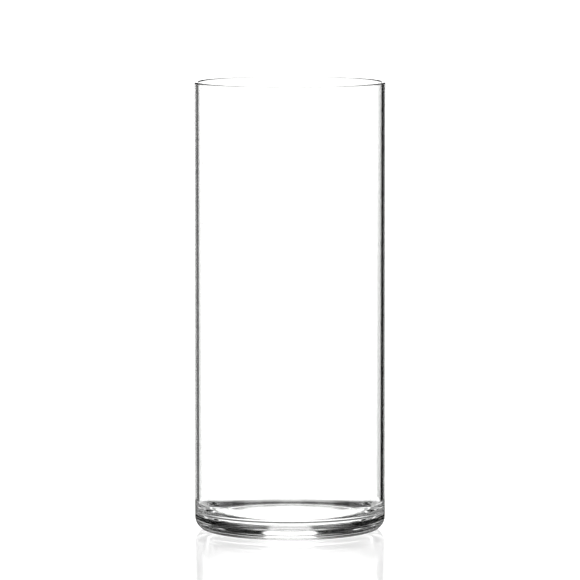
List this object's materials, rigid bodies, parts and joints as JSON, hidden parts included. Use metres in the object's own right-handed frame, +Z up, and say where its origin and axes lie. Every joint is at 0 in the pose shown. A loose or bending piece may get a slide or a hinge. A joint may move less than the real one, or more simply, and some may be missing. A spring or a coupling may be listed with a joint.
{
  "type": "glass cylinder vase",
  "caption": "Straight clear glass cylinder vase with a thick solid base, a rounded heel and a fire-polished rim; holds water and cut stems.",
  "frame": {"origin": "centre of the foot, on the plane of the resting ring", "axes": "+Z up along the vase's axis; the vase is round, so X and Y are free"},
  "size_m": [0.1146, 0.1146, 0.27],
  "materials": {
    "clear_glass": "clear, fire-polished"
  },
  "bodies": {
    "root": {"thick_base": "clear_glass", "cylinder_wall": "clear_glass", "rim_bead": "clear_glass"}
  },
  "joints": []
}
